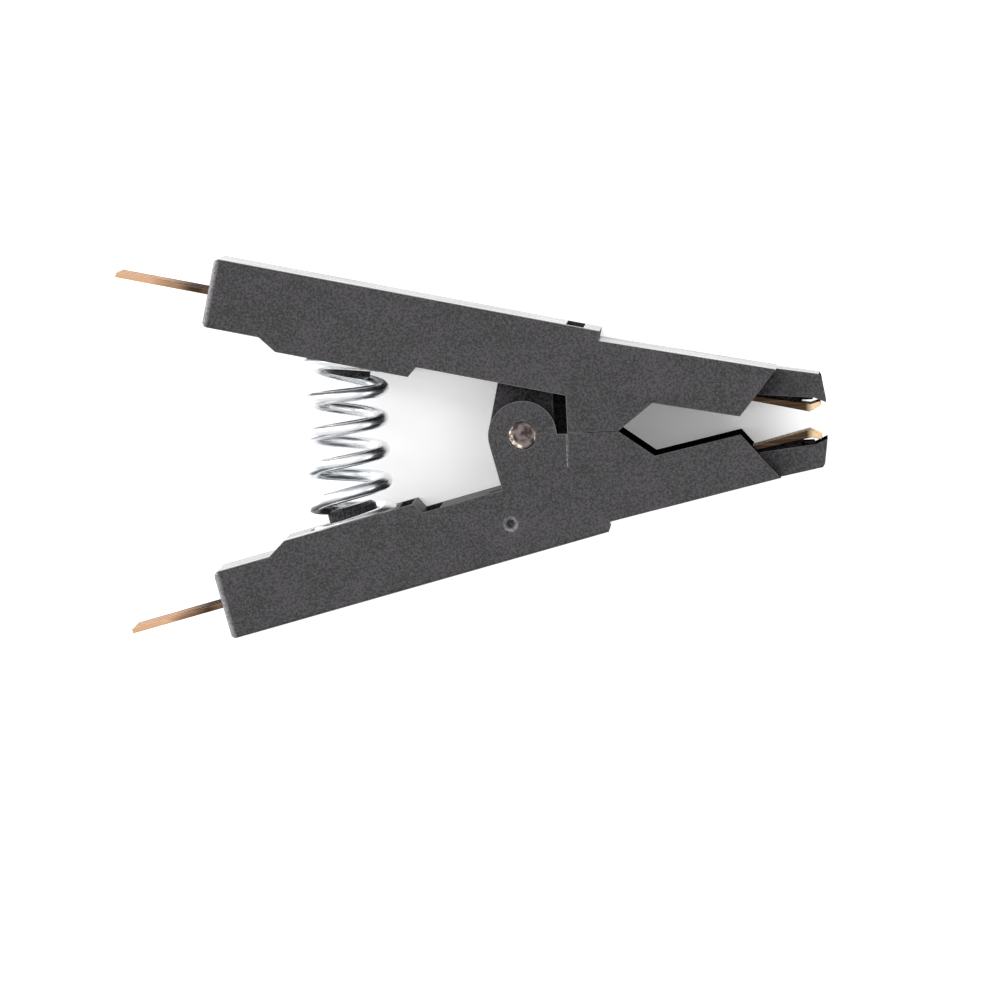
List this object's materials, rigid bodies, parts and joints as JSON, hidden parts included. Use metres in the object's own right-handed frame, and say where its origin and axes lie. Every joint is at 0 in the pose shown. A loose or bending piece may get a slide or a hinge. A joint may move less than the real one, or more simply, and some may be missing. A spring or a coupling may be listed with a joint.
{
  "type": "ic test clip",
  "caption": "Sprung clip whose two moulded levers cross at a hinge pin; formed contact strips run from the narrow jaw to straight pins at the rear.",
  "frame": {"origin": "on the hinge axis, in the plane of the side that the clip rests on", "axes": "+X along the centre line from the hinge to the jaw, +Y towards the upper lever, +Z along the hinge pin"},
  "size_m": [0.0494, 0.0266, 0.0106],
  "materials": {
    "moulding": "matt dark grey, finely grained",
    "hinge_pin": "turned, dull",
    "spring_wire": "bright zinc plated wire",
    "contact_strip": "thin gold flash over copper alloy"
  },
  "bodies": {
    "lower_lever": {"lower_jaw": "moulding", "pivot_pin": "hinge_pin", "spring": "spring_wire", "lower_contact_1": "contact_strip", "lower_contact_2": "contact_strip", "lower_contact_3": "contact_strip", "lower_contact_4": "contact_strip"},
    "upper_lever": {"upper_jaw": "moulding", "upper_contact_1": "contact_strip", "upper_contact_2": "contact_strip", "upper_contact_3": "contact_strip", "upper_contact_4": "contact_strip"}
  },
  "joints": [
    {"name": "jaw_pivot", "type": "hinge", "parent": "lower_lever", "child": "upper_lever", "pos_m": [0, 0, 0], "axis": [0, 0, 1], "range_deg": [0, 24], "stiffness_Nm_per_rad": 0.9, "springref_deg": -9.74, "deforming": ["spring"]}
  ]
}
